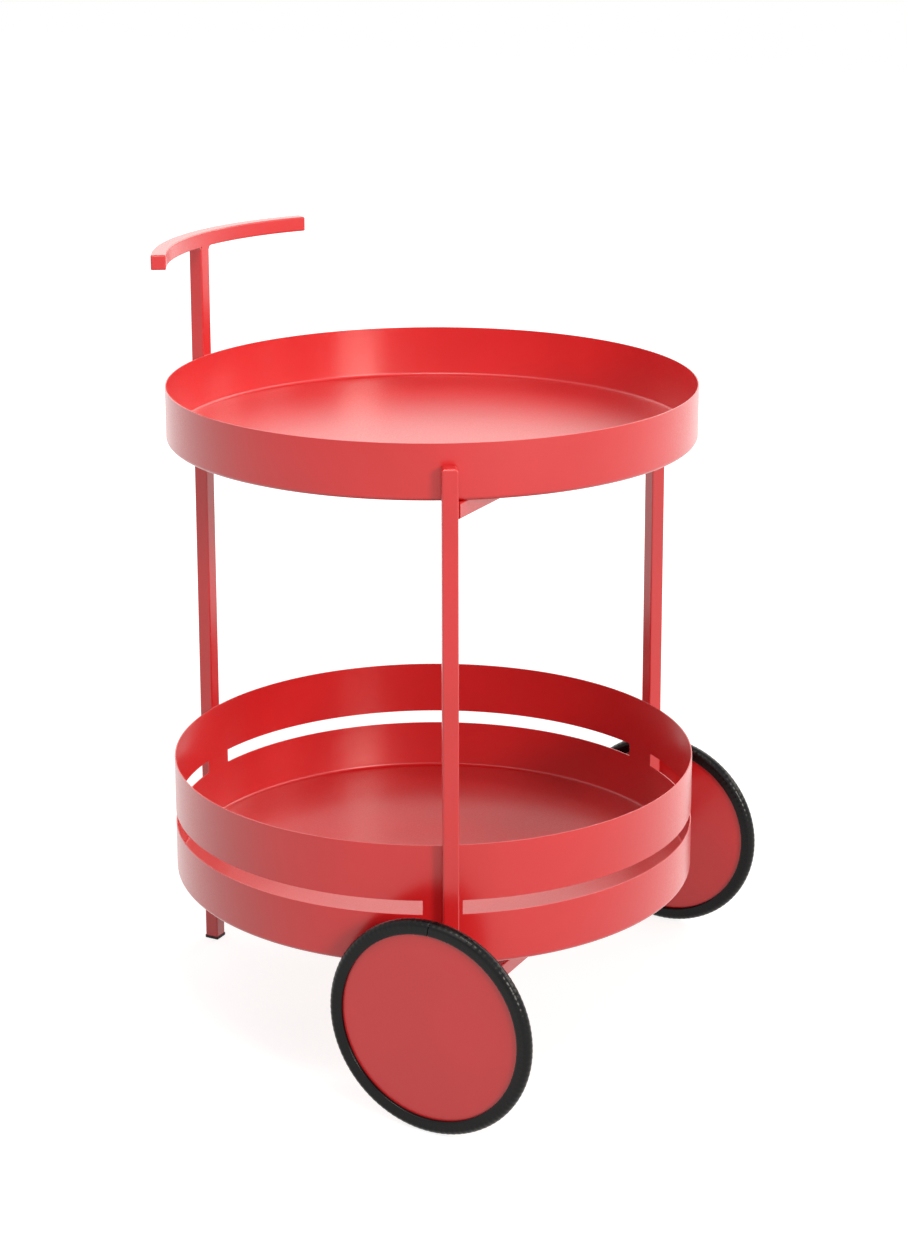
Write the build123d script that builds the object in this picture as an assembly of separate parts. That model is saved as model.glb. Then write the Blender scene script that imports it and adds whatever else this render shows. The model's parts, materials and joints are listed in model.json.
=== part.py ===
"""Round two-tier serving cart: sheet trays on three square-tube legs, a curved handle and two disc wheels.

Millimetres, +Z up. The cart is modelled about the axis of its trays, with the handle at -Y and the wheels
towards +Y on an axle along X. The finished pieces are then shifted so that the origin lies on the floor
under the middle of the cart's footprint. Left and right are as seen by someone pushing at the handle.
"""
import os
from math import cos, degrees, radians, sin

from build123d import *

# Overall sizes
TRAY_DIAMETER = 420.0
OVERALL_HEIGHT = 620.0
HANDLE_RISE = 102.0

# Trays, drawn from one gauge of steel sheet
SHEET = 1.0
BEND_RADIUS = 2.5
UPPER_WALL = 43.0
LOWER_WALL = 96.0
BEAM_TO_LOWER_TRAY = 26.0

# Row of slots in the lower tray's wall, broken by evenly spaced bridges, the first one at the handle leg
SLOT_DROP = 44.0
SLOT_HEIGHT = 11.0
BRIDGE_WIDTH = 30.0
BRIDGE_COUNT = 3

# Square tube of the frame
TUBE = 12.0
TUBE_WALL = 1.5
TUBE_CORNER = 1.2
PLUG_CLEARANCE = 0.05

# Legs: angles are counted from the front, clockwise seen from above
WHEEL_LEG_ANGLE = 58.5
HANDLE_LEG_ANGLE = 180.0
LEG_TOP_DROP = 16.0
LEG_BELOW_AXLE = 18.0
LEG_CAP_EDGE = 0.6
LEG_CAP_ROUND = 2.4
LEG_CAP_STUB = 8.0

# Crossbars: their square-cut ends stop short of the middle of the wheel legs
CROSSBAR_STOP = 5.0

# Handle
HANDLE_RADIUS = 195.0
HANDLE_HALF_ANGLE = 34.0
END_CAP_EDGE = 0.6
END_CAP_ROUND = 1.4
END_CAP_STUB = 7.0

# Plastic inserts in the open lower tube ends
GLIDE_LIP = 0.5
GLIDE_HEIGHT = 2.4
GLIDE_ROUND = 0.8
GLIDE_STEM = 18.0
PLUG_HEAD = 2.0
PLUG_STEM = 8.0
INSERT_CORE = 6.0
INSERT_FIN = 1.0
INSERT_FIN_COUNT = 3

# Wheels: a sheet disc with a U-section rubber trim clipped over its rim
WHEEL_DIAMETER = 168.0
WHEEL_TRAY_GAP = 2.5
DISC_THICKNESS = 3.0
TRIM_DEPTH = 11.0
TRIM_CROWN = 3.0
TRIM_SHOULDER_DROP = 4.0
TRIM_FLANK = 3.75
TRIM_LIP = 2.8
TRIM_LIP_ROUND = 1.0

# Axle, hubs and bearings
AXLE_DIAMETER = 8.0
AXLE_FIT = 0.05
AXLE_END_GAP = 1.0
AXLE_CHAMFER = 0.6
HUB_WALL = 5.0
HUB_LENGTH = 19.0
HUB_LEG_GAP = 3.0
HUB_FLANGE = 2.5
HUB_FLANGE_RIM = 9.0
HUB_FILLET = 2.0
BUSH_WALL = 2.0
BUSH_FLANGE = 1.5
BUSH_FLANGE_RIM = 2.4
GRUB_DIAMETER = 5.0
GRUB_SPACE = 8.0
GRUB_SINK = 0.5
GRUB_TIP_DIAMETER = 3.2
GRUB_SOCKET = 2.5
GRUB_SOCKET_DEPTH = 2.0
GROOVE_DEPTH = 1.2
GROOVE_CLEARANCE = 0.5

# How far a cutting shape reaches past what it cuts, and how closely an edge is picked by its size
CUT_REACH = 2.0
PICK = 0.01

# Sizes that follow from the ones above
TRAY_RADIUS = TRAY_DIAMETER / 2
TUBE_INSIDE = TUBE - 2 * TUBE_WALL
PLUG_SIDE = TUBE_INSIDE - 2 * PLUG_CLEARANCE
WHEEL_RADIUS = WHEEL_DIAMETER / 2
DISC_RADIUS = WHEEL_RADIUS - TRIM_CROWN
TRIM_HALF_WIDTH = DISC_THICKNESS / 2 + TRIM_FLANK
AXLE_RADIUS = AXLE_DIAMETER / 2
AXLE_Z = WHEEL_RADIUS
BEARING_RADIUS = AXLE_RADIUS + AXLE_FIT
HUB_BORE_RADIUS = BEARING_RADIUS + BUSH_WALL
HUB_RADIUS = HUB_BORE_RADIUS + HUB_WALL
BUSH_LENGTH = (HUB_LENGTH - GRUB_SPACE) / 2
GROOVE_RADIUS = AXLE_RADIUS - GROOVE_DEPTH
UPPER_RIM_Z = OVERALL_HEIGHT - HANDLE_RISE
UPPER_FLOOR_Z = UPPER_RIM_Z - UPPER_WALL
LOWER_FLOOR_Z = AXLE_Z + TUBE / 2 + BEAM_TO_LOWER_TRAY
LOWER_RIM_Z = LOWER_FLOOR_Z + LOWER_WALL
LEG_TOP_Z = UPPER_RIM_Z - LEG_TOP_DROP
LEG_FOOT_Z = AXLE_Z - LEG_BELOW_AXLE
LEG_CAP = LEG_CAP_EDGE + LEG_CAP_ROUND
END_CAP = END_CAP_EDGE + END_CAP_ROUND
GLIDE_PAD = TUBE + 2 * GLIDE_LIP

# Legs stand against the outside of the trays, turned to face the tray axis
LEG_RADIUS = TRAY_RADIUS + TUBE / 2
LEG_X = LEG_RADIUS * sin(radians(WHEEL_LEG_ANGLE))
AXLE_Y = LEG_RADIUS * cos(radians(WHEEL_LEG_ANGLE))
LEG_REACH_X = TUBE / 2 * (sin(radians(WHEEL_LEG_ANGLE)) + cos(radians(WHEEL_LEG_ANGLE)))

# Wheels pass outside the trays, and leave room for their hubs beside the legs
WHEEL_X_FOR_TRAY = TRAY_RADIUS + WHEEL_TRAY_GAP + TRIM_HALF_WIDTH
WHEEL_X_FOR_HUB = LEG_X + LEG_REACH_X + HUB_LEG_GAP + BUSH_FLANGE + HUB_LENGTH + DISC_THICKNESS / 2
WHEEL_X = max(WHEEL_X_FOR_TRAY, WHEEL_X_FOR_HUB)

# A wheel's pieces are made about the axle as the X axis, with the middle of the disc at X = 0, the bare
# outer face towards +X and the hub towards -X
HUB_SEAT_X = -DISC_THICKNESS / 2
HUB_END_X = HUB_SEAT_X - HUB_LENGTH
GRUB_X = (HUB_SEAT_X + HUB_END_X) / 2

FRONT_REACH = max(TRAY_RADIUS, AXLE_Y + WHEEL_RADIUS)
REAR_REACH = LEG_RADIUS + GLIDE_PAD / 2
FOOTPRINT_MIDDLE_Y = (FRONT_REACH - REAR_REACH) / 2


def arc_angle(length: float, radius: float) -> float:
    """Angle in degrees of an arc of this length."""
    return degrees(length / radius)


def tray(floor_z: float, wall: float) -> Part:
    """A round sheet tray: flat floor, small bend and plain upright wall."""
    rim_z = floor_z + wall
    bend_outside = BEND_RADIUS + SHEET
    bend_edge = TRAY_RADIUS - bend_outside
    bend_top = floor_z + bend_outside
    inside = TRAY_RADIUS - SHEET
    section = make_face(
        [
            Polyline((bend_edge, floor_z), (0, floor_z), (0, floor_z + SHEET), (bend_edge, floor_z + SHEET)),
            RadiusArc((bend_edge, floor_z + SHEET), (inside, bend_top), -BEND_RADIUS),
            Polyline((inside, bend_top), (inside, rim_z), (TRAY_RADIUS, rim_z), (TRAY_RADIUS, bend_top)),
            RadiusArc((TRAY_RADIUS, bend_top), (bend_edge, floor_z), bend_outside),
        ]
    )
    return revolve(Plane.XZ * section, Axis.Z)


def slotted(shell: Part) -> Part:
    """The lower tray with its wall cut through between neighbouring bridges."""
    step = 360 / BRIDGE_COUNT
    bridge = arc_angle(BRIDGE_WIDTH, TRAY_RADIUS)
    slot_z = LOWER_RIM_Z - SLOT_DROP - SLOT_HEIGHT / 2
    section = Plane.YZ * Pos(TRAY_RADIUS, slot_z) * Rectangle(2 * (SHEET + CUT_REACH), SLOT_HEIGHT)
    for count in range(BRIDGE_COUNT):
        slot_end = HANDLE_LEG_ANGLE + (count + 1) * step - bridge / 2
        shell -= Rot(0, 0, -slot_end) * revolve(section, Axis.Z, revolution_arc=step - bridge)
    return shell


def tube_outline() -> Sketch:
    """Outside of the frame's square tube."""
    return RectangleRounded(TUBE, TUBE, TUBE_CORNER)


def tube_section() -> Sketch:
    """Cross-section of the frame's square tube."""
    return tube_outline() - Rectangle(TUBE_INSIDE, TUBE_INSIDE)


def at_leg(angle: float, z: float) -> Location:
    """Place on a leg's centre line, with local +Y pointing away from the trays."""
    return Rot(0, 0, -angle) * Pos(0, LEG_RADIUS, z)


def axle_hole() -> Part:
    """Straight hole along the axle line through the beam and both wheel legs."""
    return Pos(0, AXLE_Y, AXLE_Z) * Rot(0, 90, 0) * Cylinder(BEARING_RADIUS, 2 * WHEEL_X)


def wheel_leg(angle: float) -> Part:
    """Tube of a wheel leg, from below the axle up to its cap."""
    tube = extrude(tube_section(), LEG_TOP_Z - LEG_CAP - LEG_FOOT_Z)
    return at_leg(angle, LEG_FOOT_Z) * tube - axle_hole()


def handle_leg() -> Part:
    """Tube of the handle leg, from its glide up to the underside of the handle."""
    tube = extrude(tube_section(), OVERALL_HEIGHT - TUBE - GLIDE_HEIGHT)
    return at_leg(HANDLE_LEG_ANGLE, GLIDE_HEIGHT) * tube


def leg_cap(angle: float) -> Part:
    """Closed top of a wheel leg: a rounded cap with a stub down the tube."""
    cap = extrude(tube_outline(), LEG_CAP)
    cap = fillet(cap.faces().sort_by(Axis.Z)[-1].edges(), LEG_CAP_ROUND)
    cap += Pos(0, 0, -LEG_CAP_STUB) * extrude(Rectangle(PLUG_SIDE, PLUG_SIDE), LEG_CAP_STUB)
    return at_leg(angle, LEG_TOP_Z - LEG_CAP) * cap


def crossbar(z: float) -> Part:
    """Square tube between the wheel legs, its ends notched to fit the turned legs."""
    bar = Pos(0, AXLE_Y, z) * extrude(Plane.YZ * tube_section(), LEG_X - CROSSBAR_STOP, both=True)
    for angle in (WHEEL_LEG_ANGLE, -WHEEL_LEG_ANGLE):
        bar -= at_leg(angle, 0) * extrude(tube_outline(), OVERALL_HEIGHT)
    return bar


def handle_arc(section: Sketch, start: float, sweep: float) -> Part:
    """A section carried along the handle's arc, angles counted from the handle leg."""
    placed = Plane.YZ * Pos(-HANDLE_RADIUS, 0) * section
    arc = Rot(0, 0, start) * revolve(placed, Axis.Z, revolution_arc=sweep)
    return Pos(0, HANDLE_RADIUS - LEG_RADIUS, OVERALL_HEIGHT - TUBE / 2) * arc


def handle_bar() -> Part:
    """Square tube bent to a flat arc over the handle leg."""
    half = HANDLE_HALF_ANGLE - arc_angle(END_CAP, HANDLE_RADIUS)
    return handle_arc(tube_section(), -half, 2 * half)


def handle_end_caps() -> list[Part]:
    """Closed ends of the handle: a rounded plate with a stub in the tube at each end."""
    plate = arc_angle(END_CAP, HANDLE_RADIUS)
    stub = arc_angle(END_CAP_STUB, HANDLE_RADIUS)
    cap = handle_arc(tube_outline(), HANDLE_HALF_ANGLE - plate, plate)
    end_face = cap.faces().filter_by(GeomType.PLANE).sort_by(Axis.X)[-1]
    cap = fillet(end_face.edges(), END_CAP_ROUND)
    cap += handle_arc(Rectangle(PLUG_SIDE, PLUG_SIDE), HANDLE_HALF_ANGLE - plate - stub, stub)
    return [cap, mirror(cap, Plane.YZ)]


def tube_insert(head: Part, stem: float) -> Part:
    """Plastic insert: a head below the tube's end and a finned stem pressed up into the tube."""
    insert = head + extrude(Rectangle(INSERT_CORE, INSERT_CORE), stem)
    fin = extrude(Rectangle(PLUG_SIDE, PLUG_SIDE), INSERT_FIN)
    pitch = (stem - INSERT_FIN) / INSERT_FIN_COUNT
    for count in range(INSERT_FIN_COUNT):
        insert += Pos(0, 0, (count + 1) * pitch) * fin
    return insert


def foot_glide() -> Part:
    """Glide under the handle leg, its pad a little wider than the tube."""
    pad = extrude(RectangleRounded(GLIDE_PAD, GLIDE_PAD, TUBE_CORNER), -GLIDE_HEIGHT)
    pad = fillet(pad.faces().sort_by(Axis.Z)[0].edges(), GLIDE_ROUND)
    return at_leg(HANDLE_LEG_ANGLE, GLIDE_HEIGHT) * tube_insert(pad, GLIDE_STEM)


def leg_plug(angle: float) -> Part:
    """Plug at the lower end of a wheel leg, flush with the tube's sides."""
    return at_leg(angle, LEG_FOOT_Z) * tube_insert(extrude(tube_outline(), -PLUG_HEAD), PLUG_STEM)


def along_x(radius: float, low: float, high: float) -> Part:
    """Round bar on the X axis between two stations."""
    return Pos((low + high) / 2, 0, 0) * Rot(0, 90, 0) * Cylinder(radius, high - low)


def axle_rod() -> Part:
    """Fixed rod through the beam and both legs, grooved near its ends for the grub screws."""
    half = WHEEL_X + HUB_SEAT_X - AXLE_END_GAP
    rod = chamfer(along_x(AXLE_RADIUS, -half, half).edges(), AXLE_CHAMFER)
    half_groove = GRUB_TIP_DIAMETER / 2 + GROOVE_CLEARANCE
    groove = along_x(AXLE_RADIUS + CUT_REACH, -half_groove, half_groove)
    groove -= along_x(GROOVE_RADIUS, -half_groove, half_groove)
    for side in (-1, 1):
        rod -= Pos(side * (WHEEL_X + GRUB_X), 0, 0) * groove
    return Pos(0, AXLE_Y, AXLE_Z) * rod


def wheel_disc() -> Part:
    """Flat sheet disc with bare faces."""
    return along_x(DISC_RADIUS, -DISC_THICKNESS / 2, DISC_THICKNESS / 2)


def wheel_tyre() -> Part:
    """U-section edge trim clipped over the rim of the disc."""
    lip_radius = WHEEL_RADIUS - TRIM_DEPTH
    shoulder = WHEEL_RADIUS - TRIM_SHOULDER_DROP
    half_groove = DISC_THICKNESS / 2
    half_lip = half_groove + TRIM_LIP
    section = make_face(
        [
            ThreePointArc((-TRIM_HALF_WIDTH, shoulder), (0, WHEEL_RADIUS), (TRIM_HALF_WIDTH, shoulder)),
            Polyline((TRIM_HALF_WIDTH, shoulder), (half_lip, lip_radius), (half_groove, lip_radius)),
            Polyline((half_groove, lip_radius), (half_groove, DISC_RADIUS)),
            Polyline((half_groove, DISC_RADIUS), (-half_groove, DISC_RADIUS), (-half_groove, lip_radius)),
            Polyline((-half_groove, lip_radius), (-half_lip, lip_radius), (-TRIM_HALF_WIDTH, shoulder)),
        ]
    )
    lips = section.vertices().filter_by(lambda corner: abs(abs(corner.X) - half_lip) < PICK)
    return revolve(Plane.XZ * fillet(lips, TRIM_LIP_ROUND), Axis.X)


def wheel_hub() -> Part:
    """Turned hub fixed to the disc's inner face by its flange, bored for the bushes and the grub screw."""
    hub = along_x(HUB_RADIUS, HUB_END_X, HUB_SEAT_X)
    hub += along_x(HUB_RADIUS + HUB_FLANGE_RIM, HUB_SEAT_X - HUB_FLANGE, HUB_SEAT_X)
    circles = hub.edges().filter_by(GeomType.CIRCLE)
    shoulder = circles.filter_by(lambda edge: abs(edge.radius - HUB_RADIUS) < PICK).sort_by(Axis.X)[-1]
    hub = fillet(shoulder, HUB_FILLET)
    hub -= along_x(HUB_BORE_RADIUS, HUB_END_X, HUB_SEAT_X)
    return hub - Pos(GRUB_X, 0, 0) * extrude(Circle(GRUB_DIAMETER / 2), -(HUB_RADIUS + CUT_REACH))


def wheel_bushes() -> list[Part]:
    """Two plain bearings in the hub, the inner one with a thrust flange against the hub's end."""
    deep = along_x(HUB_BORE_RADIUS, HUB_SEAT_X - BUSH_LENGTH, HUB_SEAT_X)
    near = along_x(HUB_BORE_RADIUS, HUB_END_X, HUB_END_X + BUSH_LENGTH)
    near += along_x(HUB_BORE_RADIUS + BUSH_FLANGE_RIM, HUB_END_X - BUSH_FLANGE, HUB_END_X)
    bore = along_x(BEARING_RADIUS, HUB_END_X - BUSH_FLANGE, HUB_SEAT_X)
    return [deep - bore, near - bore]


def grub_screw() -> Part:
    """Dog-point screw in the hub, its tip running in the axle's groove."""
    head_z = GRUB_SINK - HUB_RADIUS
    shoulder_z = -HUB_BORE_RADIUS
    tip_z = -(GROOVE_RADIUS + GROOVE_CLEARANCE)
    screw = Pos(0, 0, head_z) * extrude(Circle(GRUB_DIAMETER / 2), shoulder_z - head_z)
    screw += Pos(0, 0, shoulder_z) * extrude(Circle(GRUB_TIP_DIAMETER / 2), tip_z - shoulder_z)
    socket = RegularPolygon(GRUB_SOCKET / 2, 6, major_radius=False)
    screw -= Pos(0, 0, head_z) * extrude(socket, GRUB_SOCKET_DEPTH)
    return Pos(GRUB_X, 0, 0) * screw


nodes = {
    "upper_tray": [tray(UPPER_FLOOR_Z, UPPER_WALL)],
    "lower_tray": [slotted(tray(LOWER_FLOOR_Z, LOWER_WALL))],
    "right_wheel_leg": [wheel_leg(WHEEL_LEG_ANGLE)],
    "left_wheel_leg": [wheel_leg(-WHEEL_LEG_ANGLE)],
    "handle_leg": [handle_leg()],
    "handle_bar": [handle_bar()],
    "handle_end_caps": handle_end_caps(),
    "wheel_leg_top_caps": [leg_cap(WHEEL_LEG_ANGLE), leg_cap(-WHEEL_LEG_ANGLE)],
    "wheel_leg_bottom_plugs": [leg_plug(WHEEL_LEG_ANGLE), leg_plug(-WHEEL_LEG_ANGLE)],
    "upper_crossbar": [crossbar(UPPER_FLOOR_Z - TUBE / 2)],
    "axle_beam": [crossbar(AXLE_Z) - axle_hole()],
    "axle_rod": [axle_rod()],
    "handle_foot_glide": [foot_glide()],
}
wheel_places = {
    "right": Pos(WHEEL_X, AXLE_Y, AXLE_Z),
    "left": Pos(-WHEEL_X, AXLE_Y, AXLE_Z) * Rot(0, 0, 180),
}
wheel_pieces = {
    "disc": [wheel_disc()],
    "tyre": [wheel_tyre()],
    "hub": [wheel_hub()],
    "bushes": wheel_bushes(),
    "grub_screw": [grub_screw()],
}
for side, place in wheel_places.items():
    for piece, solids in wheel_pieces.items():
        nodes[f"{side}_wheel_{piece}"] = [place * solid for solid in solids]

os.makedirs("parts", exist_ok=True)
to_origin = Pos(0, -FOOTPRINT_MIDDLE_Y, 0)
for name, solids in nodes.items():
    placed = [to_origin * solid for solid in solids]
    export_step(placed[0] if len(placed) == 1 else Compound(placed), f"parts/{name}.step")
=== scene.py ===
"""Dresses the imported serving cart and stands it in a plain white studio.

Everything is in metres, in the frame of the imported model: +Z up, +Y away from the handle, the axle along X.
Sizes that belong to a piece are given in millimetres, as a workshop drawing gives them.
"""

import json
import logging
import math
from collections.abc import Iterator
from dataclasses import dataclass
from enum import Enum

import bmesh
import bpy
from mathutils import Matrix, Vector

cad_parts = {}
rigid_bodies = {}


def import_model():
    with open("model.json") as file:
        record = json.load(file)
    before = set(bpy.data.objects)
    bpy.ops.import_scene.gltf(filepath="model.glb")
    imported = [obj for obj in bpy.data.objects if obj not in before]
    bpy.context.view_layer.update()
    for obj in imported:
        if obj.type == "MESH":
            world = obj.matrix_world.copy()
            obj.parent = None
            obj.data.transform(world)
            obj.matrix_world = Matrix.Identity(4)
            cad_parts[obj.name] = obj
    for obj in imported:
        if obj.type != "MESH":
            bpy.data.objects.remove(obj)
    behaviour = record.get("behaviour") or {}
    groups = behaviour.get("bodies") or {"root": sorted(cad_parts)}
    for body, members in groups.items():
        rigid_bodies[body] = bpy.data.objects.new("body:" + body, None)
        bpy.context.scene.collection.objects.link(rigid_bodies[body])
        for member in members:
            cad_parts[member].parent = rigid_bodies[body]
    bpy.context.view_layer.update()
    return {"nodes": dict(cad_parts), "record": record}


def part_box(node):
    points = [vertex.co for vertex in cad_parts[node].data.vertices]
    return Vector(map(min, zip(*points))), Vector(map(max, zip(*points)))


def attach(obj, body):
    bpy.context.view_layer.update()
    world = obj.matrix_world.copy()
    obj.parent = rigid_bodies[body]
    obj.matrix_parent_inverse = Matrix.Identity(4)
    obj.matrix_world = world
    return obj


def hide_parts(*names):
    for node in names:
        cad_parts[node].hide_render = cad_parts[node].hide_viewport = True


for leftover in list(bpy.data.objects):
    bpy.data.objects.remove(leftover)
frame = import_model()

LOG = logging.getLogger("serving_cart")
MM = 0.001
IMAGE_WIDTH = 907.0
IMAGE_HEIGHT = 1247.0
SHARP_DEGREES = 50.0


class Side(Enum):
    """Which wheel, as seen by someone who pushes at the handle."""

    RIGHT = "right"
    LEFT = "left"

    @property
    def outward(self) -> float:
        """Sign of X on this side's outer face."""
        return 1.0 if self is Side.RIGHT else -1.0

    @property
    def body(self) -> str:
        """Name of the moving body that the wheel's pieces ride on."""
        return f"{self.value}_wheel"


def linear(hex_colour: str) -> tuple[float, float, float, float]:
    """Turns an sRGB hex colour into linear light.

    Args:
        hex_colour: Six hex digits after a hash mark.

    Returns:
        Red, green, blue and an alpha of one.
    """
    channels = [int(hex_colour[i:i + 2], 16) / 255 for i in (1, 3, 5)]
    red, green, blue = (c / 12.92 if c <= 0.04045 else ((c + 0.055) / 1.055) ** 2.4 for c in channels)
    return red, green, blue, 1.0


def add_node(
    tree: bpy.types.NodeTree,
    kind: str,
    settings: dict[str, object] | None = None,
    links: dict[str | int, bpy.types.NodeSocket] | None = None,
) -> bpy.types.Node:
    """Adds one node to a tree, sets it up and links it.

    Args:
        tree: Material, world or geometry tree.
        kind: Blender's name for the node type.
        settings: Values by property name or, where there is no such property, by input name.
        links: Output sockets by the input that each one feeds.

    Returns:
        The new node.
    """
    node = tree.nodes.new(kind)
    for name, value in (settings or {}).items():
        if hasattr(node, name):
            setattr(node, name, value)
        else:
            node.inputs[name].default_value = value
    for name, source in (links or {}).items():
        tree.links.new(source, node.inputs[name])
    return node


def per_metre(feature_mm: float) -> float:
    """Noise scale that gives features of this size."""
    return 1.0 / (feature_mm * MM)


def new_material(name: str) -> tuple[bpy.types.Material, bpy.types.NodeTree]:
    """Makes an empty node material.

    Args:
        name: The material's name.

    Returns:
        The material and its tree, with no nodes.
    """
    material = bpy.data.materials.new(name)
    material.use_nodes = True
    material.node_tree.nodes.clear()
    return material, material.node_tree


@dataclass(frozen=True)
class PowderCoat:
    """Polyester powder, sprayed and baked: an even satin skin with a fine grain and a faint orange peel.

    The clear top of the film gives soft lamp glints over a deep red, and pales the walls that turn away.
    """

    name: str = "polyester_powder_coat_baked_satin"
    colour: str = "#cd1218"
    shade: str = "#c61015"
    roughness: float = 0.45
    roughness_swing: float = 0.05
    ior: float = 1.45
    gleam: float = 0.4
    skin: float = 1.0
    skin_roughness: float = 0.27
    skin_ior: float = 1.52
    cloud_mm: float = 70.0
    cloud_span: tuple[float, float] = (0.35, 0.65)
    peel_mm: float = 4.0
    peel_height_mm: float = 0.008
    grain_mm: float = 1.1
    grain_span: tuple[float, float] = (0.3, 0.7)
    grain_height_mm: float = 0.012

    def material(self) -> bpy.types.Material:
        """Builds the paint: film colour, sprayed cloudiness, and grain and peel in the gloss.

        Returns:
            The node material.
        """
        material, tree = new_material(self.name)
        coords = add_node(tree, "ShaderNodeTexCoord").outputs["Object"]
        cloud = add_node(
            tree,
            "ShaderNodeTexNoise",
            {"Scale": per_metre(self.cloud_mm), "Detail": 2.0, "Roughness": 0.4},
            {"Vector": coords},
        )
        film = add_node(tree, "ShaderNodeValToRGB", links={"Fac": cloud.outputs["Fac"]})
        low, high = film.color_ramp.elements
        low.position, high.position = self.cloud_span
        low.color, high.color = linear(self.shade), linear(self.colour)
        # The grain of real powder is near 0.3 mm: it is drawn coarser, so that a pixel still shows it
        grain = add_node(
            tree,
            "ShaderNodeTexNoise",
            {"Scale": per_metre(self.grain_mm), "Detail": 1.0, "Roughness": 0.5},
            {"Vector": coords},
        )
        peel = add_node(
            tree,
            "ShaderNodeTexNoise",
            {"Scale": per_metre(self.peel_mm), "Detail": 1.0, "Roughness": 0.4},
            {"Vector": coords},
        )
        gloss = add_node(
            tree,
            "ShaderNodeMapRange",
            {
                "From Min": self.grain_span[0],
                "From Max": self.grain_span[1],
                "To Min": self.roughness - self.roughness_swing,
                "To Max": self.roughness + self.roughness_swing,
            },
            {"Value": grain.outputs["Fac"]},
        )
        waves = add_node(
            tree,
            "ShaderNodeBump",
            {"Strength": 1.0, "Distance": self.peel_height_mm * MM},
            {"Height": peel.outputs["Fac"]},
        )
        pores = add_node(
            tree,
            "ShaderNodeBump",
            {"Strength": 1.0, "Distance": self.grain_height_mm * MM},
            {"Height": grain.outputs["Fac"], "Normal": waves.outputs["Normal"]},
        )
        paint = add_node(
            tree,
            "ShaderNodeBsdfPrincipled",
            {
                "IOR": self.ior,
                "Specular IOR Level": self.gleam,
                "Coat Weight": self.skin,
                "Coat Roughness": self.skin_roughness,
                "Coat IOR": self.skin_ior,
            },
            {
                "Base Color": film.outputs["Color"],
                "Roughness": gloss.outputs["Result"],
                "Normal": pores.outputs["Normal"],
                "Coat Normal": pores.outputs["Normal"],
            },
        )
        add_node(tree, "ShaderNodeOutputMaterial", links={"Surface": paint.outputs["BSDF"]})
        return material


@dataclass(frozen=True)
class Polymer:
    """Moulded or extruded plastic or rubber: one dyed colour, with a faint bloom and a fine tool grain."""

    name: str
    colour: str
    bloom: str
    roughness: float
    ior: float
    gleam: float = 0.5
    roughness_swing: float = 0.08
    bloom_mm: float = 14.0
    bloom_span: tuple[float, float] = (0.35, 0.75)
    grain_mm: float = 0.9
    grain_height_mm: float = 0.02

    def material(self) -> bpy.types.Material:
        """Builds the moulding: dyed colour with patches of bloom, and the tool's grain.

        Returns:
            The node material.
        """
        material, tree = new_material(self.name)
        coords = add_node(tree, "ShaderNodeTexCoord").outputs["Object"]
        patches = add_node(
            tree,
            "ShaderNodeTexNoise",
            {"Scale": per_metre(self.bloom_mm), "Detail": 3.0},
            {"Vector": coords},
        )
        ramp = add_node(tree, "ShaderNodeValToRGB", links={"Fac": patches.outputs["Fac"]})
        low, high = ramp.color_ramp.elements
        low.position, high.position = self.bloom_span
        low.color, high.color = linear(self.colour), linear(self.bloom)
        # The grain of a tool is near 0.1 mm: it is drawn coarser, so that a close view still shows it
        grain = add_node(
            tree,
            "ShaderNodeTexNoise",
            {"Scale": per_metre(self.grain_mm), "Detail": 2.0},
            {"Vector": coords},
        )
        gloss = add_node(
            tree,
            "ShaderNodeMapRange",
            {
                "To Min": self.roughness - self.roughness_swing,
                "To Max": self.roughness + self.roughness_swing,
            },
            {"Value": patches.outputs["Fac"]},
        )
        bump = add_node(
            tree,
            "ShaderNodeBump",
            {"Strength": 1.0, "Distance": self.grain_height_mm * MM},
            {"Height": grain.outputs["Fac"]},
        )
        body = add_node(
            tree,
            "ShaderNodeBsdfPrincipled",
            {"IOR": self.ior, "Specular IOR Level": self.gleam},
            {
                "Base Color": ramp.outputs["Color"],
                "Roughness": gloss.outputs["Result"],
                "Normal": bump.outputs["Normal"],
            },
        )
        add_node(tree, "ShaderNodeOutputMaterial", links={"Surface": body.outputs["BSDF"]})
        return material


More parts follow.
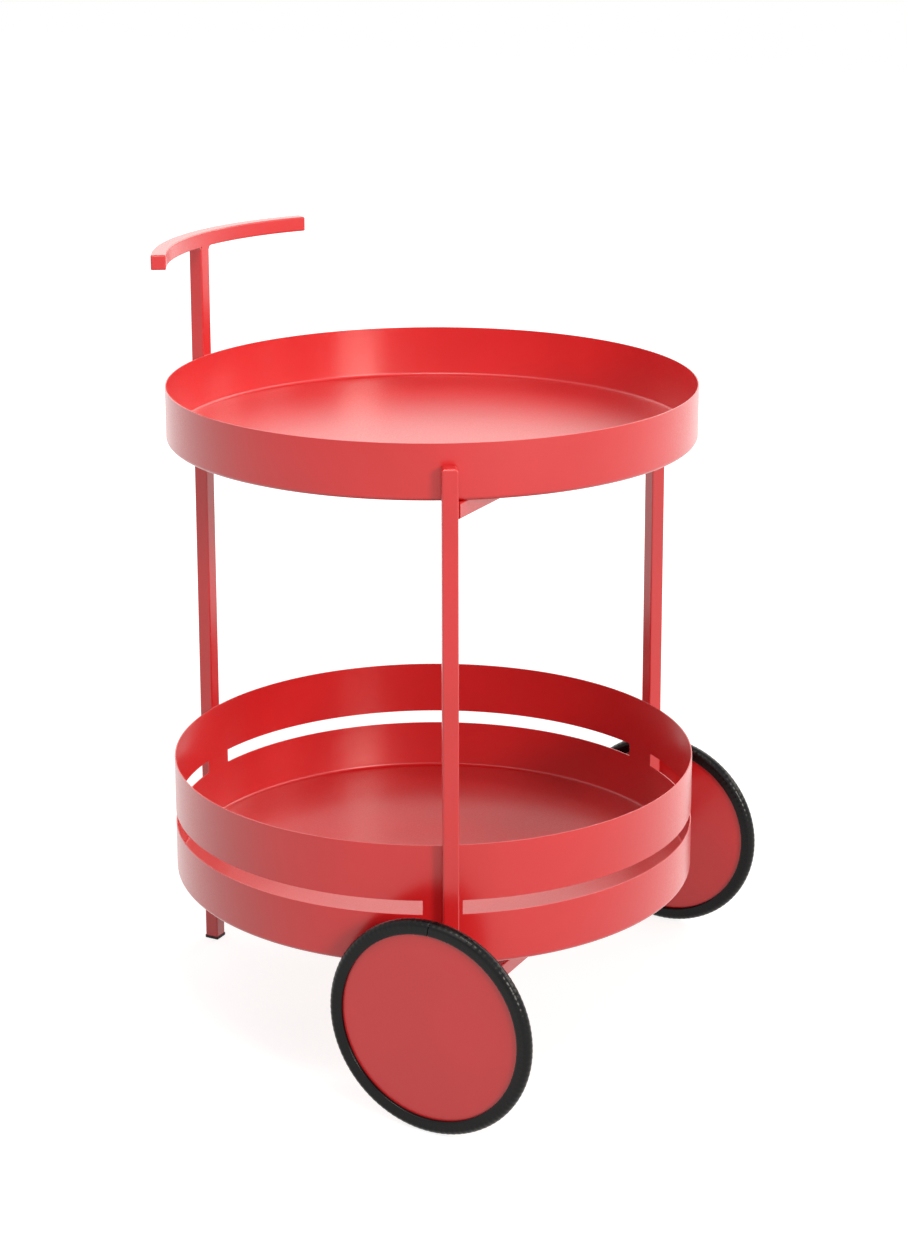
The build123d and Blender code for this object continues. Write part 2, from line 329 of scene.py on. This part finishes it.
@dataclass(frozen=True)
class ZincPlate:
    """Bright zinc on drawn steel bar: a pale metal with fine draw lines along the bar."""

    name: str = "zinc_plated_steel_drawn"
    colour: str = "#b9bdc0"
    shade: str = "#9fa4a8"
    roughness: float = 0.32
    roughness_swing: float = 0.1
    line_mm: float = 0.6
    line_length_mm: float = 40.0

    def material(self) -> bpy.types.Material:
        """Builds the plating, streaked along the axle by the drawing die.

        Returns:
            The node material.
        """
        material, tree = new_material(self.name)
        coords = add_node(tree, "ShaderNodeTexCoord").outputs["Object"]
        # Draw lines are finer than 0.1 mm: they are drawn coarser, so that a close view still shows them
        stretch = self.line_mm / self.line_length_mm
        drawn = add_node(tree, "ShaderNodeMapping", {"Scale": (stretch, 1.0, 1.0)}, {"Vector": coords})
        lines = add_node(
            tree,
            "ShaderNodeTexNoise",
            {"Scale": per_metre(self.line_mm), "Detail": 2.0},
            {"Vector": drawn.outputs["Vector"]},
        )
        ramp = add_node(tree, "ShaderNodeValToRGB", links={"Fac": lines.outputs["Fac"]})
        low, high = ramp.color_ramp.elements
        low.color, high.color = linear(self.shade), linear(self.colour)
        gloss = add_node(
            tree,
            "ShaderNodeMapRange",
            {
                "To Min": self.roughness - self.roughness_swing,
                "To Max": self.roughness + self.roughness_swing,
            },
            {"Value": lines.outputs["Fac"]},
        )
        metal = add_node(
            tree,
            "ShaderNodeBsdfPrincipled",
            {"Metallic": 1.0},
            {"Base Color": ramp.outputs["Color"], "Roughness": gloss.outputs["Result"]},
        )
        add_node(tree, "ShaderNodeOutputMaterial", links={"Surface": metal.outputs["BSDF"]})
        return material


def finish_mesh(
    piece: bpy.types.Object, body: str, node: str | None, material: bpy.types.Material
) -> bpy.types.Object:
    """Bakes a piece's modifiers into a plain mesh, dresses it and sets it in the frame.

    Args:
        piece: Mesh object at the origin, with its modifiers on it.
        body: Moving body that the piece rides on.
        node: CAD node that the piece takes the place of, if any.
        material: Finish of the piece.

    Returns:
        The same object, with no modifiers left.
    """
    depsgraph = bpy.context.evaluated_depsgraph_get()
    baked = bpy.data.meshes.new_from_object(piece.evaluated_get(depsgraph), depsgraph=depsgraph)
    piece.modifiers.clear()
    piece.data = baked
    baked.materials.clear()
    baked.materials.append(material)
    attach(piece, body)
    if node:
        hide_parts(node)
    return piece


def new_piece(name: str, shape: bmesh.types.BMesh) -> bpy.types.Object:
    """Puts a finished bmesh into the scene as a smooth-shaded object at the origin.

    Args:
        name: Name of the piece.
        shape: The mesh, which is freed.

    Returns:
        The new object.
    """
    mesh = bpy.data.meshes.new(name)
    shape.to_mesh(mesh)
    shape.free()
    mesh.polygons.foreach_set("use_smooth", [True] * len(mesh.polygons))
    piece = bpy.data.objects.new(name, mesh)
    bpy.context.scene.collection.objects.link(piece)
    return piece


@dataclass
class Tray:
    """A round tray folded and welded from one sheet: flat floor, small bend, plain wall, perhaps slots."""

    node: str
    sheet_mm: float = 1.0
    bend_mm: float = 2.5
    bend_steps: int = 7
    floor_rings: int = 8
    columns: int = 360
    column_clearance: float = 0.4
    edge_mm: float = 0.22
    edge_steps: int = 2
    edge_degrees: float = 60.0
    slot_drop_mm: float = 0.0
    slot_height_mm: float = 0.0
    bridge_mm: float = 0.0
    bridge_angles: tuple[float, ...] = ()

    def __post_init__(self) -> None:
        """Takes the tray's place and outer sizes from its CAD node."""
        low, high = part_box(self.node)
        self.middle = Vector(((low.x + high.x) / 2, (low.y + high.y) / 2, 0.0))
        self.radius = (high.x - low.x) / 2
        self.floor_z = low.z
        self.rim_z = high.z

    def slots(self) -> list[tuple[float, float]]:
        """Works out where the slots lie between the bridges.

        Returns:
            Start and end angle of each slot, in degrees from the front, clockwise from above.
        """
        half = math.degrees(self.bridge_mm * MM / 2 / self.radius)
        following = [*self.bridge_angles[1:], self.bridge_angles[0] + 360] if self.bridge_angles else []
        return [(here + half, there - half) for here, there in zip(self.bridge_angles, following)]

    def profile(self) -> list[tuple[float, float]]:
        """Draws the outer side of the sheet from the floor's middle to the rim.

        Returns:
            Radius and height of each row. The last three of a slotted wall are the slot's foot, its top and
            the rim.
        """
        bend = (self.bend_mm + self.sheet_mm) * MM
        flat = self.radius - bend
        rows = [(flat * ring / self.floor_rings, self.floor_z) for ring in range(1, self.floor_rings + 1)]
        for step in range(1, self.bend_steps + 1):
            turn = math.pi / 2 * step / self.bend_steps
            rows.append((flat + bend * math.sin(turn), self.floor_z + bend * (1 - math.cos(turn))))
        if self.bridge_angles:
            slot_top = self.rim_z - self.slot_drop_mm * MM
            rows.append((self.radius, slot_top - self.slot_height_mm * MM))
            rows.append((self.radius, slot_top))
        rows.append((self.radius, self.rim_z))
        return rows

    def headings(self) -> list[float]:
        """Spaces the mesh's columns evenly, with one on each end of a slot in place of those close by.

        Returns:
            Angles of the columns in degrees, in order.
        """
        step = 360.0 / self.columns
        ends = [end % 360 for slot in self.slots() for end in slot]
        even = [column * step for column in range(self.columns)]
        clear = step * self.column_clearance
        kept = [a for a in even if all(abs((a - end + 180) % 360 - 180) > clear for end in ends)]
        return sorted(kept + ends)

    def in_slot(self, heading: float) -> bool:
        """Whether a heading lies within one of the slots."""
        return any(start < heading < end or start < heading + 360 < end for start, end in self.slots())

    def build(self, material: bpy.types.Material) -> bpy.types.Object:
        """Makes the sheet as one skin, gives it thickness and eases its edges.

        Args:
            material: The paint.

        Returns:
            The finished tray.
        """
        rows = self.profile()
        headings = self.headings()
        shape = bmesh.new()
        rings = []
        for heading in headings:
            out = Vector((math.sin(math.radians(heading)), math.cos(math.radians(heading)), 0.0))
            rings.append([shape.verts.new(self.middle + out * r + Vector((0, 0, z))) for r, z in rows])
        pole = shape.verts.new(self.middle + Vector((0, 0, self.floor_z)))
        slot_row = len(rows) - 3 if self.bridge_angles else -1
        for column, heading in enumerate(headings):
            here = rings[column]
            there = rings[(column + 1) % len(rings)]
            gap = (headings[(column + 1) % len(headings)] - heading) % 360
            open_here = self.in_slot(heading + gap / 2)
            shape.faces.new((pole, here[0], there[0]))
            for row in range(len(rows) - 1):
                if row == slot_row and open_here:
                    continue
                shape.faces.new((here[row], here[row + 1], there[row + 1], there[row]))
        bmesh.ops.recalc_face_normals(shape, faces=shape.faces)
        if pole.link_faces[0].normal.z > 0:
            bmesh.ops.reverse_faces(shape, faces=shape.faces)
        piece = new_piece(f"{self.node}_sheet", shape)
        thickness = piece.modifiers.new("thickness", "SOLIDIFY")
        thickness.thickness = self.sheet_mm * MM
        thickness.offset = -1.0
        thickness.use_even_offset = True
        easing = piece.modifiers.new("eased_edges", "BEVEL")
        easing.width = self.edge_mm * MM
        easing.segments = self.edge_steps
        easing.limit_method = "ANGLE"
        easing.angle_limit = math.radians(self.edge_degrees)
        easing.harden_normals = True
        return finish_mesh(piece, "frame", self.node, material)


@dataclass
class HandleWeld:
    """Weld between handle and leg, ground smooth: a fillet on either side, flush in front and behind."""

    reach_mm: float = 2.6
    sink_mm: float = 0.3
    side_gap_mm: float = 0.25
    tube_corner_mm: float = 1.2
    proud_mm: float = 0.03
    steps: int = 6

    def fillet(self) -> list[tuple[float, float]]:
        """Draws the closed outline of one fillet.

        Returns:
            Corners as distance out from the leg and height over its top.
        """
        reach = self.reach_mm * MM
        sink = self.sink_mm * MM
        turns = [math.pi / 2 * step / self.steps for step in range(self.steps + 1)]
        hollow = [(reach * (1 - math.sin(turn)), reach * (math.cos(turn) - 1)) for turn in turns]
        return [(-sink, sink), (reach, sink), *hollow, (-sink, -reach)]

    def filling(self) -> list[tuple[float, float]]:
        """Draws the closed outline of the weld that fills the groove over the leg's front or back.

        Returns:
            Corners as distance out from the leg and height over its top.
        """
        depth = -self.tube_corner_mm * MM
        proud = self.proud_mm * MM
        bottom = -self.sink_mm * MM
        top = (self.tube_corner_mm + self.sink_mm) * MM
        return [(depth, bottom), (proud, bottom), (proud, top), (depth, top)]

    def add_prism(
        self, shape: bmesh.types.BMesh, corners: list[tuple[float, float, float]], along: Vector
    ) -> None:
        """Adds a closed prism to a mesh.

        Args:
            shape: The mesh.
            corners: Outline of the prism's one end, in order.
            along: Way from that end to the other one.
        """
        ends = [[shape.verts.new(Vector(corner) + way) for corner in corners] for way in (Vector(), along)]
        for ring in ends:
            shape.faces.new(ring)
        for i in range(len(corners)):
            j = (i + 1) % len(corners)
            shape.faces.new((ends[0][i], ends[0][j], ends[1][j], ends[1][i]))

    def build(self, material: bpy.types.Material) -> bpy.types.Object:
        """Fills the corners and grooves at the top of the leg.

        Args:
            material: The paint.

        Returns:
            The finished weld.
        """
        low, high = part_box("handle_leg")
        gap = self.side_gap_mm * MM
        round_r = self.tube_corner_mm * MM
        shape = bmesh.new()
        for face, outward in ((high.x, 1.0), (low.x, -1.0)):
            corners = [(face + outward * out, low.y + gap, high.z + up) for out, up in self.fillet()]
            self.add_prism(shape, corners, Vector((0, high.y - low.y - 2 * gap, 0)))
        for face, outward in ((high.y, 1.0), (low.y, -1.0)):
            corners = [(low.x + round_r, face + outward * out, high.z + up) for out, up in self.filling()]
            self.add_prism(shape, corners, Vector((high.x - low.x - 2 * round_r, 0, 0)))
        bmesh.ops.recalc_face_normals(shape, faces=shape.faces)
        piece = new_piece("handle_leg_weld", shape)
        piece.data.set_sharp_from_angle(angle=math.radians(SHARP_DEGREES))
        return finish_mesh(piece, "frame", None, material)


@dataclass
class EdgeTrim:
    """Length of extruded rubber trim clipped round a wheel disc, its two ends butted together."""

    side: Side
    groove_mm: float = 3.0
    flank_mm: float = 3.75
    lip_mm: float = 2.8
    lip_round_mm: float = 1.0
    depth_mm: float = 11.0
    crown_mm: float = 3.0
    shoulder_drop_mm: float = 4.0
    crown_steps: int = 16
    flank_steps: int = 5
    lip_steps: int = 4
    ribs: int = 111
    columns_per_rib: int = 7
    rib_height_mm: float = 0.14
    joint_degrees: float = 1.0
    joint_slant: float = 9.0
    joint_gap_mm: float = 0.1
    end_round_mm: float = 0.45

    def __post_init__(self) -> None:
        """Takes the trim's place and outer sizes from its CAD node."""
        self.node = f"{self.side.value}_wheel_tyre"
        low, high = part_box(self.node)
        self.middle = (low + high) / 2
        self.radius = (high.z - low.z) / 2

    def half_profile(self) -> list[tuple[float, float, float]]:
        """Draws one half of the closed section, from the crown's middle to the groove's floor.

        Returns:
            Offset from the disc's middle plane and radius in metres, and share of the rib's height.
        """
        half_groove = self.groove_mm * MM / 2
        shoulder_x = half_groove + self.flank_mm * MM
        lip_x = half_groove + self.lip_mm * MM
        drop = self.shoulder_drop_mm * MM
        shoulder_r = self.radius - drop
        lip_r = self.radius - self.depth_mm * MM
        crown_r = (shoulder_x ** 2 + drop ** 2) / (2 * drop)
        reach = math.atan2(shoulder_x, crown_r - drop)
        rows = []
        for step in range(self.crown_steps + 1):
            turn = reach * step / self.crown_steps
            rows.append((crown_r * math.sin(turn), self.radius - crown_r * (1 - math.cos(turn)), 1.0))
        round_r = self.lip_round_mm * MM
        foot_r = lip_r + round_r
        foot_x = lip_x + (shoulder_x - lip_x) * round_r / (shoulder_r - lip_r)
        for step in range(1, self.flank_steps + 1):
            share = step / self.flank_steps
            x = shoulder_x + (foot_x - shoulder_x) * share
            rows.append((x, shoulder_r + (foot_r - shoulder_r) * share, (1.0 - share) ** 2))
        for step in range(1, self.lip_steps + 1):
            turn = math.pi / 2 * step / self.lip_steps
            x = lip_x - round_r * (1 - math.cos(turn))
            rows.append((x, lip_r + round_r * (1 - math.sin(turn)), 0.0))
        rows.append((half_groove, lip_r, 0.0))
        rows.append((half_groove, self.radius - self.crown_mm * MM, 0.0))
        return rows

    def section(self) -> list[tuple[float, float, float]]:
        """The whole closed section, once round."""
        half = self.half_profile()
        return half + [(-x, r, ease) for x, r, ease in reversed(half[1:])]

    def stations(self) -> Iterator[tuple[float, float]]:
        """Steps along the trim from one cut end to the other, with the ends rounded off.

        Yields:
            Angle from the top and inset of the section at each column.
        """
        gap = self.joint_gap_mm * MM / self.radius
        ends = self.end_round_mm * MM
        start = math.radians(self.joint_degrees) + gap / 2
        sweep = 2 * math.pi - gap
        count = self.ribs * self.columns_per_rib
        for column in range(count + 1):
            along = sweep * column / count
            from_end = min(along, sweep - along) * self.radius
            share = max(0.0, 1 - from_end / ends)
            yield start + along, (1 - math.sqrt(1 - share ** 2)) * ends

    def rib_tree(self, material: bpy.types.Material) -> bpy.types.NodeTree:
        """Builds the geometry tree that raises the ribs across the trim.

        Args:
            material: The rubber.

        Returns:
            The tree, with named inputs for the ribs' count and half height.
        """
        tree = bpy.data.node_groups.new("trim_ribs", "GeometryNodeTree")
        face = tree.interface
        face.new_socket("Geometry", in_out="INPUT", socket_type="NodeSocketGeometry")
        face.new_socket("Rib count", in_out="INPUT", socket_type="NodeSocketFloat")
        face.new_socket("Half rib height", in_out="INPUT", socket_type="NodeSocketFloat")
        face.new_socket("Geometry", in_out="OUTPUT", socket_type="NodeSocketGeometry")
        given = add_node(tree, "NodeGroupInput").outputs
        along = add_node(tree, "GeometryNodeInputNamedAttribute", {"Name": "along"}).outputs["Attribute"]
        ease = add_node(tree, "GeometryNodeInputNamedAttribute", {"Name": "ease"}).outputs["Attribute"]
        phase = add_node(tree, "ShaderNodeMath", {"operation": "MULTIPLY"}, {0: along, 1: given["Rib count"]})
        wave = add_node(tree, "ShaderNodeMath", {"operation": "COSINE"}, {0: phase.outputs[0]})
        eased = add_node(tree, "ShaderNodeMath", {"operation": "MULTIPLY"}, {0: wave.outputs[0], 1: ease})
        sunk = add_node(tree, "ShaderNodeMath", {"operation": "SUBTRACT"}, {0: eased.outputs[0], 1: ease})
        height = add_node(
            tree,
            "ShaderNodeMath",
            {"operation": "MULTIPLY"},
            {0: sunk.outputs[0], 1: given["Half rib height"]},
        )
        normal = add_node(tree, "GeometryNodeInputNormal").outputs["Normal"]
        lift = add_node(
            tree, "ShaderNodeVectorMath", {"operation": "SCALE"}, {0: normal, "Scale": height.outputs[0]}
        )
        ribbed = add_node(
            tree,
            "GeometryNodeSetPosition",
            links={"Geometry": given["Geometry"], "Offset": lift.outputs["Vector"]},
        )
        real = add_node(tree, "GeometryNodeRealizeInstances", links={"Geometry": ribbed.outputs["Geometry"]})
        dressed = add_node(
            tree, "GeometryNodeSetMaterial", {"Material": material}, {"Geometry": real.outputs["Geometry"]}
        )
        add_node(tree, "NodeGroupOutput", links={"Geometry": dressed.outputs["Geometry"]})
        return tree

    def build(self, material: bpy.types.Material) -> bpy.types.Object:
        """Sweeps the section round the wheel, closes its cut ends and raises the ribs.

        Args:
            material: The rubber.

        Returns:
            The finished trim.
        """
        section = self.section()
        mean_r = sum(r for _, r, _ in section) / len(section)
        slant = math.tan(math.radians(self.joint_slant)) / mean_r
        shape = bmesh.new()
        along_layer = shape.verts.layers.float.new("along")
        ease_layer = shape.verts.layers.float.new("ease")
        rings = []
        for station, inset in self.stations():
            shrink = 1 - inset / (self.flank_mm * MM)
            ring = []
            for x, r, ease in section:
                along = station + slant * (r - mean_r)
                out = Vector((0.0, math.sin(along), math.cos(along)))
                place = self.middle + out * (mean_r + (r - mean_r) * shrink)
                place.x += self.side.outward * x * shrink
                vert = shape.verts.new(place)
                vert[along_layer] = along
                vert[ease_layer] = 0.0 if inset else ease
                ring.append(vert)
            rings.append(ring)
        count = len(section)
        for here, there in zip(rings, rings[1:]):
            for i in range(count):
                j = (i + 1) % count
                shape.faces.new((here[i], here[j], there[j], there[i]))
        shape.faces.new(rings[0])
        shape.faces.new(list(reversed(rings[-1])))
        bmesh.ops.recalc_face_normals(shape, faces=shape.faces)
        piece = new_piece(f"{self.side.value}_wheel_trim", shape)
        piece.data.set_sharp_from_angle(angle=math.radians(SHARP_DEGREES))
        tree = self.rib_tree(material)
        ribs = piece.modifiers.new("ribs", "NODES")
        ribs.node_group = tree
        values = {"Rib count": float(self.ribs), "Half rib height": self.rib_height_mm * MM / 2}
        for item in tree.interface.items_tree:
            if item.in_out == "INPUT" and item.name in values:
                ribs[item.identifier] = values[item.name]
        return finish_mesh(piece, self.side.body, self.node, material)


@dataclass(frozen=True)
class Lamp:
    """A softbox that faces the cart.

    Its turn to the right of the camera's side and its height are in degrees, its distance and size in
    metres, and its level is a share of the light that shows a colour as it is written.
    """

    name: str
    turn: float
    height: float
    width: float
    tall: float
    level: float
    distance: float = 4.4


@dataclass
class Studio:
    """Pale floor, white surroundings, softboxes and the camera at the photograph's viewing angle.

    Lengths are in metres, angles in degrees and the camera's focal length and centre in the image's pixels.
    Three values are strengths of light: white where the surroundings are seen, fill where they light the
    cart, and floor_lift where the floor is seen close to the cart.
    """

    axis_y: float
    aim_z: float = 0.30
    camera_turn: float = 61.788
    camera_distance: float = 2.061579
    camera_height: float = 0.976223
    pitch: float = 13.076
    roll: float = -0.226
    focal_px: float = 2674.975
    centre_x_px: float = 432.032
    centre_y_px: float = 405.0
    sensor_mm: float = 36.0
    clip_end: float = 100.0
    floor_size: float = 14.0
    floor_colour: str = "#a3a3a2"
    floor_fade_from: float = 0.5
    floor_fade_to: float = 1.3
    white: float = 1.0
    fill: float = 0.35
    floor_lift: float = 0.82
    lamp_colour: str = "#fff8ee"
    lamps: tuple[Lamp, ...] = (
        Lamp("right_back_softbox", turn=145.0, height=30.0, width=2.4, tall=2.4, level=0.22),
        Lamp("right_softbox", turn=110.0, height=25.0, width=1.4, tall=1.4, level=0.20),
        Lamp("right_side_softbox", turn=80.0, height=28.0, width=1.4, tall=1.4, level=0.20),
        Lamp("key_softbox", turn=34.0, height=18.0, width=1.1, tall=0.9, level=0.50),
        Lamp("overhead_softbox", turn=0.0, height=60.0, width=0.5, tall=0.35, level=0.29, distance=1.6),
        Lamp("left_front_softbox", turn=-30.0, height=45.0, width=1.2, tall=1.0, level=0.18, distance=2.0),
        Lamp("left_back_softbox", turn=-140.0, height=30.0, width=2.4, tall=2.8, level=0.13),
        Lamp("back_softbox", turn=180.0, height=35.0, width=4.0, tall=2.4, level=0.09),
        Lamp("low_back_softbox", turn=180.0, height=10.0, width=4.0, tall=1.4, level=0.06),
    )

    def towards(self, turn: float) -> Vector:
        """Level direction from the cart, turned to the camera's right from the camera's own side."""
        heading = math.radians(self.camera_turn - turn)
        return Vector((math.sin(heading), math.cos(heading), 0.0))

    def camera(self) -> None:
        """Makes the camera and gives it to the scene."""
        data = bpy.data.cameras.new("camera")
        data.sensor_width = self.sensor_mm
        data.lens = self.focal_px * self.sensor_mm / IMAGE_HEIGHT
        data.shift_x = (IMAGE_WIDTH / 2 - self.centre_x_px) / IMAGE_HEIGHT
        data.shift_y = (self.centre_y_px - IMAGE_HEIGHT / 2) / IMAGE_HEIGHT
        data.clip_end = self.clip_end
        camera = bpy.data.objects.new("camera", data)
        bpy.context.scene.collection.objects.link(camera)
        back = self.towards(0.0)
        right = self.towards(90.0)
        pitch = math.radians(self.pitch)
        forward = -back * math.cos(pitch) - Vector((0, 0, 1)) * math.sin(pitch)
        up = right.cross(forward)
        roll = math.radians(self.roll)
        tilted_right = right * math.cos(roll) + up * math.sin(roll)
        tilted_up = up * math.cos(roll) - right * math.sin(roll)
        turn = Matrix((tilted_right, tilted_up, -forward)).transposed()
        place = back * self.camera_distance + Vector((0, self.axis_y, self.camera_height))
        camera.matrix_world = Matrix.Translation(place) @ turn.to_4x4()
        bpy.context.scene.camera = camera

    def seen(self, tree: bpy.types.NodeTree) -> bpy.types.NodeSocket:
        """Adds a value that is one for rays that show a picture: camera, glossy and transmission.

        Args:
            tree: Material or world tree.

        Returns:
            The output that holds the value.
        """
        path = add_node(tree, "ShaderNodeLightPath").outputs
        direct = {0: path["Is Camera Ray"], 1: path["Is Glossy Ray"]}
        first = add_node(tree, "ShaderNodeMath", {"operation": "MAXIMUM"}, direct).outputs[0]
        through = {0: first, 1: path["Is Transmission Ray"]}
        return add_node(tree, "ShaderNodeMath", {"operation": "MAXIMUM"}, through).outputs[0]

    def surroundings(self) -> None:
        """White world: plain white where it is seen, softer where it lights."""
        world = bpy.data.worlds.new("white_studio")
        world.use_nodes = True
        tree = world.node_tree
        tree.nodes.clear()
        level = add_node(
            tree,
            "ShaderNodeMapRange",
            {"To Min": self.fill, "To Max": self.white},
            {"Value": self.seen(tree)},
        )
        glow = add_node(
            tree, "ShaderNodeBackground", {"Color": linear("#ffffff")}, {"Strength": level.outputs["Result"]}
        )
        add_node(tree, "ShaderNodeOutputWorld", links={"Surface": glow.outputs["Background"]})
        bpy.context.scene.world = world

    def floor(self) -> None:
        """Lays the pale floor, which keeps the cart's shadow and fades into the white around it."""
        shape = bmesh.new()
        bmesh.ops.create_grid(shape, x_segments=1, y_segments=1, size=self.floor_size / 2)
        floor = new_piece("studio_floor", shape)
        material, tree = new_material("painted_studio_floor")
        coords = add_node(tree, "ShaderNodeTexCoord").outputs["Object"]
        away = add_node(tree, "ShaderNodeVectorMath", {"operation": "LENGTH"}, {0: coords})
        lift = add_node(
            tree,
            "ShaderNodeMapRange",
            {
                "interpolation_type": "SMOOTHSTEP",
                "From Min": self.floor_fade_from,
                "From Max": self.floor_fade_to,
                "To Min": self.floor_lift,
                "To Max": self.white,
            },
            {"Value": away.outputs["Value"]},
        )
        shown = add_node(
            tree, "ShaderNodeMath", {"operation": "MULTIPLY"}, {0: lift.outputs["Result"], 1: self.seen(tree)}
        )
        paper = add_node(tree, "ShaderNodeBsdfDiffuse", {"Color": linear(self.floor_colour)})
        glow = add_node(tree, "ShaderNodeEmission", links={"Strength": shown.outputs[0]})
        both = add_node(tree, "ShaderNodeAddShader", links={0: paper.outputs[0], 1: glow.outputs[0]})
        add_node(tree, "ShaderNodeOutputMaterial", links={"Surface": both.outputs[0]})
        floor.data.materials.append(material)

    def light(self) -> None:
        """Hangs the softboxes, each one strong enough for its share of the light on the cart."""
        aim = Vector((0.0, self.axis_y, self.aim_z))
        for lamp in self.lamps:
            rise = math.radians(lamp.height)
            out = self.towards(lamp.turn) * math.cos(rise) + Vector((0, 0, 1)) * math.sin(rise)
            data = bpy.data.lights.new(lamp.name, "AREA")
            data.shape = "RECTANGLE"
            data.size = lamp.width
            data.size_y = lamp.tall
            data.color = linear(self.lamp_colour)[:3]
            data.energy = lamp.level * (math.pi * lamp.distance) ** 2
            softbox = bpy.data.objects.new(lamp.name, data)
            bpy.context.scene.collection.objects.link(softbox)
            softbox.location = aim + out * lamp.distance
            softbox.rotation_euler = out.to_track_quat("Z", "Y").to_euler()
            LOG.info("%s hung", lamp.name)

    def build(self) -> None:
        """Sets up the whole studio."""
        bpy.context.scene.view_settings.view_transform = "Standard"
        self.floor()
        self.surroundings()
        self.light()
        self.camera()


@dataclass
class Cart:
    """The whole cart: CAD nodes that keep their shape get their finish, and finer pieces replace the rest."""

    red: PowderCoat = PowderCoat()
    # Drawn through a warm die, so it stays near black and its ribs catch narrow dull glints
    rubber: Polymer = Polymer(
        "extruded_black_rubber", colour="#070708", bloom="#0d0d0e", roughness=0.27, ior=1.5, gleam=0.22
    )
    # Moulded in a sparked tool, so it is a flat dark grey with no clear reflection
    black: Polymer = Polymer(
        "moulded_black_polyethylene", colour="#0c0c0d", bloom="#131314", roughness=0.5, ior=1.5, gleam=0.3
    )
    # Left undyed, so it is a milky white with a waxy sheen
    nylon: Polymer = Polymer(
        "moulded_natural_nylon", colour="#dedbd0", bloom="#e9e6dd", roughness=0.45, ior=1.53
    )
    zinc: ZincPlate = ZincPlate()
    slot_drop_mm: float = 44.0
    slot_height_mm: float = 11.0
    bridge_mm: float = 30.0
    bridge_angles: tuple[float, ...] = (60.0, 180.0, 300.0)

    def finishes(self) -> dict[str, bpy.types.Material]:
        """Makes one material for each material slot of the record.

        Returns:
            Materials by slot.
        """
        return {
            "red_powder_coat": self.red.material(),
            "black_rubber_trim": self.rubber.material(),
            "black_plastic": self.black.material(),
            "white_nylon": self.nylon.material(),
            "plated_steel": self.zinc.material(),
        }

    def dress_nodes(self, finishes: dict[str, bpy.types.Material]) -> None:
        """Gives every CAD node the finish of its slot in the record.

        Args:
            finishes: Materials by slot.
        """
        for part in frame["record"]["subparts"]:
            node = frame["nodes"][part["node"]]
            for slot in node.material_slots:
                slot.material = finishes[part["material_slot"]]
            LOG.info("%s: %s", part["node"], part["material_slot"])

    def build(self) -> list[bpy.types.Object]:
        """Dresses the CAD nodes, then makes the trays, the handle's weld and the wheels' trims.

        Returns:
            The pieces made here.
        """
        finishes = self.finishes()
        self.dress_nodes(finishes)
        upper = Tray("upper_tray")
        lower = Tray(
            "lower_tray",
            slot_drop_mm=self.slot_drop_mm,
            slot_height_mm=self.slot_height_mm,
            bridge_mm=self.bridge_mm,
            bridge_angles=self.bridge_angles,
        )
        painted = [form.build(finishes["red_powder_coat"]) for form in (upper, lower, HandleWeld())]
        return painted + [EdgeTrim(side).build(finishes["black_rubber_trim"]) for side in Side]


def main() -> None:
    """Builds the cart and the studio in order."""
    logging.basicConfig(level=logging.INFO, format="%(name)s: %(message)s")
    for piece in Cart().build():
        LOG.info("%s: %d faces", piece.name, len(piece.data.polygons))
    low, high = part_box("upper_tray")
    Studio(axis_y=(low.y + high.y) / 2).build()


if __name__ == "__main__":
    main()
